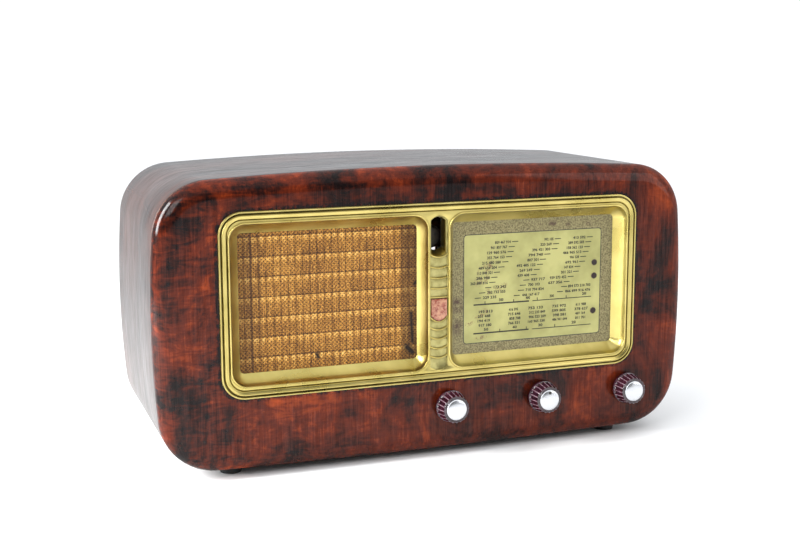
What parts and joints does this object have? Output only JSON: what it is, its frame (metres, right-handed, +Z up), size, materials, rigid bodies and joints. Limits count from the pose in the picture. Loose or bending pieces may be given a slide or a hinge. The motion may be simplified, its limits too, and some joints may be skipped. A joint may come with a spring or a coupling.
{
  "type": "table radio",
  "caption": "Wooden table radio with a bowed, round-cornered cabinet, a gold surround with speaker cloth and printed dial, and fluted control knobs below.",
  "frame": {"origin": "on the surface it stands on, under the middle of the whole set, knobs included", "axes": "+X along the width, to the right when facing the dial; +Y from the front towards the back; +Z up"},
  "size_m": [0.538, 0.2352, 0.2814],
  "materials": {
    "veneer": "high-gloss varnish over figured veneer",
    "plain_wood": "sawn, unfinished",
    "gold_paint": "satin gold lacquer",
    "badge_enamel": "worn enamel, bare of marks",
    "speaker_cloth": "coarse basket weave",
    "printed_glass": "glass printed on its back, opaque when unlit",
    "clear_glass": "clear blown glass",
    "black_rubber": "moulded",
    "plated_steel": "dull cadmium plate",
    "white_paint": "matt white paint",
    "pointer_paint": "red paint",
    "knob_plastic": "polished plum-coloured moulding",
    "aluminium": "spun and polished",
    "brass": "turned",
    "black_iron": "black paint over iron",
    "winding_paper": "waxed paper over copper",
    "cone_paper": "pressed paper",
    "bakelite": "brown phenolic moulding",
    "fibre_board": "pressed brown fibre board"
  },
  "bodies": {
    "cabinet": {"front_panel": "veneer", "cabinet_shell": "veneer", "baffle_board": "plain_wood", "chassis_runners": "plain_wood", "corner_blocks": "plain_wood", "surround": "gold_paint", "badge": "badge_enamel", "speaker_cloth": "speaker_cloth", "dial_glass": "printed_glass", "dial_lamps": "clear_glass", "valve_glass_1": "clear_glass", "valve_glass_2": "clear_glass", "valve_glass_3": "clear_glass", "valve_glass_4": "clear_glass", "eye_tube": "clear_glass", "dial_gasket": "black_rubber", "mains_gland": "black_rubber", "foot_1": "black_rubber", "foot_2": "black_rubber", "foot_3": "black_rubber", "foot_4": "black_rubber", "dial_backplate": "plated_steel", "pointer_rail": "plated_steel", "eye_bracket": "plated_steel", "chassis": "plated_steel", "chassis_ends": "plated_steel", "volume_control": "plated_steel", "wave_switch": "plated_steel", "control_nuts": "plated_steel", "capacitor_frame": "plated_steel", "cover_screws": "plated_steel", "lamp_holders": "plated_steel", "dial_reflector": "white_paint", "coil_cans": "aluminium", "electrolytic_can": "aluminium", "capacitor_stator": "aluminium", "tuning_bushing": "brass", "socket_sleeves": "brass", "speaker_basket": "black_iron", "speaker_magnet": "black_iron", "transformer_core": "black_iron", "output_transformer": "black_iron", "transformer_winding": "winding_paper", "speaker_surround": "cone_paper", "valve_bases": "bakelite", "socket_strip": "bakelite", "rear_cover": "fibre_board"},
    "volume_set": {"volume_knob": "knob_plastic", "volume_knob_cap": "aluminium", "volume_shaft": "plated_steel"},
    "wave_set": {"wave_knob": "knob_plastic", "wave_knob_cap": "aluminium", "wave_shaft": "plated_steel"},
    "tuning_set": {"tuning_knob": "knob_plastic", "tuning_knob_cap": "aluminium", "tuning_spindle": "plated_steel"},
    "gang_set": {"tuning_drum": "aluminium", "capacitor_rotor": "aluminium"},
    "pointer_set": {"pointer": "pointer_paint"},
    "cone_set": {"speaker_cone": "cone_paper"}
  },
  "joints": [
    {"name": "volume_turn", "type": "hinge", "parent": "cabinet", "child": "volume_set", "pos_m": [0.0118, -0.0984, 0.0505], "axis": [0, 1, 0], "range_deg": [-150, 150]},
    {"name": "wave_turn", "type": "hinge", "parent": "cabinet", "child": "wave_set", "pos_m": [0.10981, -0.0984, 0.0505], "axis": [0, 1, 0], "range_deg": [-30, 30]},
    {"name": "gang_turn", "type": "hinge", "parent": "cabinet", "child": "gang_set", "pos_m": [0.1044, -0.0984, 0.118], "axis": [0, 1, 0], "range_deg": [-90, 90]},
    {"name": "tuning_turn", "type": "hinge", "parent": "cabinet", "child": "tuning_set", "pos_m": [0.204, -0.0984, 0.0505], "axis": [0, 1, 0], "range_deg": [-900, 900]},
    {"name": "pointer_slide", "type": "slide", "parent": "cabinet", "child": "pointer_set", "axis": [1, 0, 0], "range_m": [-0.0629, 0.0629]},
    {"name": "cone_travel", "type": "slide", "parent": "cabinet", "child": "cone_set", "axis": [0, 1, 0], "range_m": [-0.0015, 0.0015], "stiffness_N_per_m": 1500}
  ],
  "couplings": [
    {"joint": "tuning_turn", "follows": "gang_turn", "ratio": 10},
    {"joint": "pointer_slide", "follows": "gang_turn", "m_per_rad": 0.04}
  ]
}
